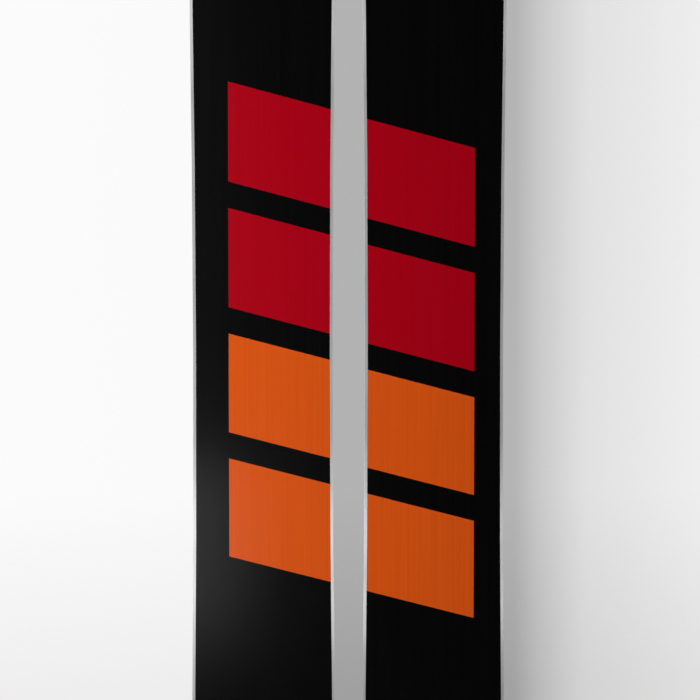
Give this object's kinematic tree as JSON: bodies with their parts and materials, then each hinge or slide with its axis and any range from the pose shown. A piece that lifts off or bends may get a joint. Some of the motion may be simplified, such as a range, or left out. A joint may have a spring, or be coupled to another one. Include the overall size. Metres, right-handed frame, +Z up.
{
  "type": "pair of alpine skis with bindings",
  "caption": "Upright pair of alpine skis with black structured bases, slanted red and orange colour blocks, steel edges and step-in bindings behind.",
  "frame": {"origin": "on the level of the two tail ends, below the middle of the pair's box", "axes": "+Z up along the skis towards the tips; the running bases face -Y and the bindings +Y; +X from the left ski to the right ski"},
  "size_m": [0.2408, 0.0952, 1.615],
  "materials": {
    "base_black": "structured sintered running base, black",
    "inlay_red": "die-cut running base, red",
    "inlay_orange": "die-cut running base, orange",
    "edge_steel": "ground steel",
    "foil": "damping rubber foil",
    "laminate": "glass fibre laminate",
    "core_wood": "lengthwise beech and poplar strips",
    "sidewall_plastic": "planed black sidewall",
    "topsheet_film": "satin topsheet",
    "binding_plastic": "moulded glass-filled nylon",
    "binding_alloy": "cast alloy, silver painted",
    "binding_accent": "moulded, red",
    "steel": "zinc plated steel",
    "slide_plate": "low friction plate, pale grey"
  },
  "bodies": {
    "left_ski": {"left_damping_foil": "foil", "left_edge_inner": "edge_steel", "left_edge_outer": "edge_steel", "left_heel_screws": "steel", "left_heel_track": "binding_alloy", "left_lower_laminate": "laminate", "left_orange_inlays": "inlay_orange", "left_red_inlays": "inlay_red", "left_running_base": "base_black", "left_sidewalls": "sidewall_plastic", "left_tail_spacer": "sidewall_plastic", "left_tip_spacer": "sidewall_plastic", "left_toe_base_plate": "binding_plastic", "left_toe_housing": "binding_alloy", "left_toe_screws": "steel", "left_toe_spring": "steel", "left_toe_wing_pins": "steel", "left_topsheet": "topsheet_film", "left_upper_laminate": "laminate", "left_wood_core": "core_wood"},
    "left_toe_wing_inner_body": {"left_toe_wing_inner": "binding_plastic"},
    "left_toe_wing_outer_body": {"left_toe_wing_outer": "binding_plastic"},
    "left_antifriction_body": {"left_antifriction_plate": "slide_plate"},
    "left_toe_setting_body": {"left_toe_setting_screw": "steel"},
    "left_heel_carriage_body": {"left_heel_carriage": "binding_plastic", "left_heel_pivot_pin": "steel"},
    "left_heel_cup_body": {"left_heel_cup": "binding_plastic", "left_heel_spring": "steel"},
    "left_heel_lever_body": {"left_heel_lever": "binding_accent"},
    "left_heel_setting_body": {"left_heel_setting_screw": "steel"},
    "right_ski": {"right_damping_foil": "foil", "right_edge_inner": "edge_steel", "right_edge_outer": "edge_steel", "right_heel_screws": "steel", "right_heel_track": "binding_alloy", "right_lower_laminate": "laminate", "right_orange_inlays": "inlay_orange", "right_red_inlays": "inlay_red", "right_running_base": "base_black", "right_sidewalls": "sidewall_plastic", "right_tail_spacer": "sidewall_plastic", "right_tip_spacer": "sidewall_plastic", "right_toe_base_plate": "binding_plastic", "right_toe_housing": "binding_alloy", "right_toe_screws": "steel", "right_toe_spring": "steel", "right_toe_wing_pins": "steel", "right_topsheet": "topsheet_film", "right_upper_laminate": "laminate", "right_wood_core": "core_wood"},
    "right_toe_wing_inner_body": {"right_toe_wing_inner": "binding_plastic"},
    "right_toe_wing_outer_body": {"right_toe_wing_outer": "binding_plastic"},
    "right_antifriction_body": {"right_antifriction_plate": "slide_plate"},
    "right_toe_setting_body": {"right_toe_setting_screw": "steel"},
    "right_heel_carriage_body": {"right_heel_carriage": "binding_plastic", "right_heel_pivot_pin": "steel"},
    "right_heel_cup_body": {"right_heel_cup": "binding_plastic", "right_heel_spring": "steel"},
    "right_heel_lever_body": {"right_heel_lever": "binding_accent"},
    "right_heel_setting_body": {"right_heel_setting_screw": "steel"}
  },
  "joints": [
    {"name": "left_toe_wing_outer_swing", "type": "hinge", "parent": "left_ski", "child": "left_toe_wing_outer_body", "pos_m": [-0.0804, 0.0024, 0.912], "axis": [0, 1, 0], "range_deg": [0, 30], "stiffness_Nm_per_rad": 1.2, "springref_deg": -17.19},
    {"name": "left_toe_wing_inner_swing", "type": "hinge", "parent": "left_ski", "child": "left_toe_wing_inner_body", "pos_m": [-0.0404, 0.0024, 0.912], "axis": [0, -1, 0], "range_deg": [0, 30], "stiffness_Nm_per_rad": 1.2, "springref_deg": -17.19},
    {"name": "left_antifriction_slide", "type": "slide", "parent": "left_ski", "child": "left_antifriction_body", "axis": [1, 0, 0], "range_m": [-0.004, 0.004], "stiffness_N_per_m": 800},
    {"name": "left_toe_setting_turn", "type": "hinge", "parent": "left_ski", "child": "left_toe_setting_body", "pos_m": [-0.0604, 0.0024, 0.978], "axis": [0, 0, 1], "continuous": true},
    {"name": "left_heel_carriage_slide", "type": "slide", "parent": "left_ski", "child": "left_heel_carriage_body", "axis": [0, 0, 1], "range_m": [-0.015, 0.015]},
    {"name": "left_heel_cup_swing", "type": "hinge", "parent": "left_heel_carriage_body", "child": "left_heel_cup_body", "pos_m": [-0.0604, -0.0054, 0.548], "axis": [-1, 0, 0], "range_deg": [0, 45]},
    {"name": "left_heel_lever_swing", "type": "hinge", "parent": "left_heel_cup_body", "child": "left_heel_lever_body", "pos_m": [-0.0604, 0.0371, 0.532], "axis": [-1, 0, 0], "range_deg": [0, 11.25]},
    {"name": "left_heel_setting_turn", "type": "hinge", "parent": "left_heel_cup_body", "child": "left_heel_setting_body", "pos_m": [-0.0604, 0.0146, 0.518], "axis": [0, 0, -1], "continuous": true},
    {"name": "right_toe_wing_outer_swing", "type": "hinge", "parent": "right_ski", "child": "right_toe_wing_outer_body", "pos_m": [0.0804, 0.0024, 0.912], "axis": [0, -1, 0], "range_deg": [0, 30], "stiffness_Nm_per_rad": 1.2, "springref_deg": -17.19},
    {"name": "right_toe_wing_inner_swing", "type": "hinge", "parent": "right_ski", "child": "right_toe_wing_inner_body", "pos_m": [0.0404, 0.0024, 0.912], "axis": [0, 1, 0], "range_deg": [0, 30], "stiffness_Nm_per_rad": 1.2, "springref_deg": -17.19},
    {"name": "right_antifriction_slide", "type": "slide", "parent": "right_ski", "child": "right_antifriction_body", "axis": [1, 0, 0], "range_m": [-0.004, 0.004], "stiffness_N_per_m": 800},
    {"name": "right_toe_setting_turn", "type": "hinge", "parent": "right_ski", "child": "right_toe_setting_body", "pos_m": [0.0604, 0.0024, 0.978], "axis": [0, 0, 1], "continuous": true},
    {"name": "right_heel_carriage_slide", "type": "slide", "parent": "right_ski", "child": "right_heel_carriage_body", "axis": [0, 0, 1], "range_m": [-0.015, 0.015]},
    {"name": "right_heel_cup_swing", "type": "hinge", "parent": "right_heel_carriage_body", "child": "right_heel_cup_body", "pos_m": [0.0604, -0.0054, 0.548], "axis": [-1, 0, 0], "range_deg": [0, 45]},
    {"name": "right_heel_lever_swing", "type": "hinge", "parent": "right_heel_cup_body", "child": "right_heel_lever_body", "pos_m": [0.0604, 0.0371, 0.532], "axis": [-1, 0, 0], "range_deg": [0, 11.25]},
    {"name": "right_heel_setting_turn", "type": "hinge", "parent": "right_heel_cup_body", "child": "right_heel_setting_body", "pos_m": [0.0604, 0.0146, 0.518], "axis": [0, 0, -1], "continuous": true},
    {"name": "right_ski_lift", "type": "slide", "parent": "left_ski", "child": "right_ski", "axis": [0, 0, 1], "range_m": [0, 0.3]}
  ],
  "couplings": [
    {"joint": "left_heel_lever_swing", "follows": "left_heel_cup_swing", "ratio": 0.25},
    {"joint": "right_heel_lever_swing", "follows": "right_heel_cup_swing", "ratio": 0.25}
  ]
}
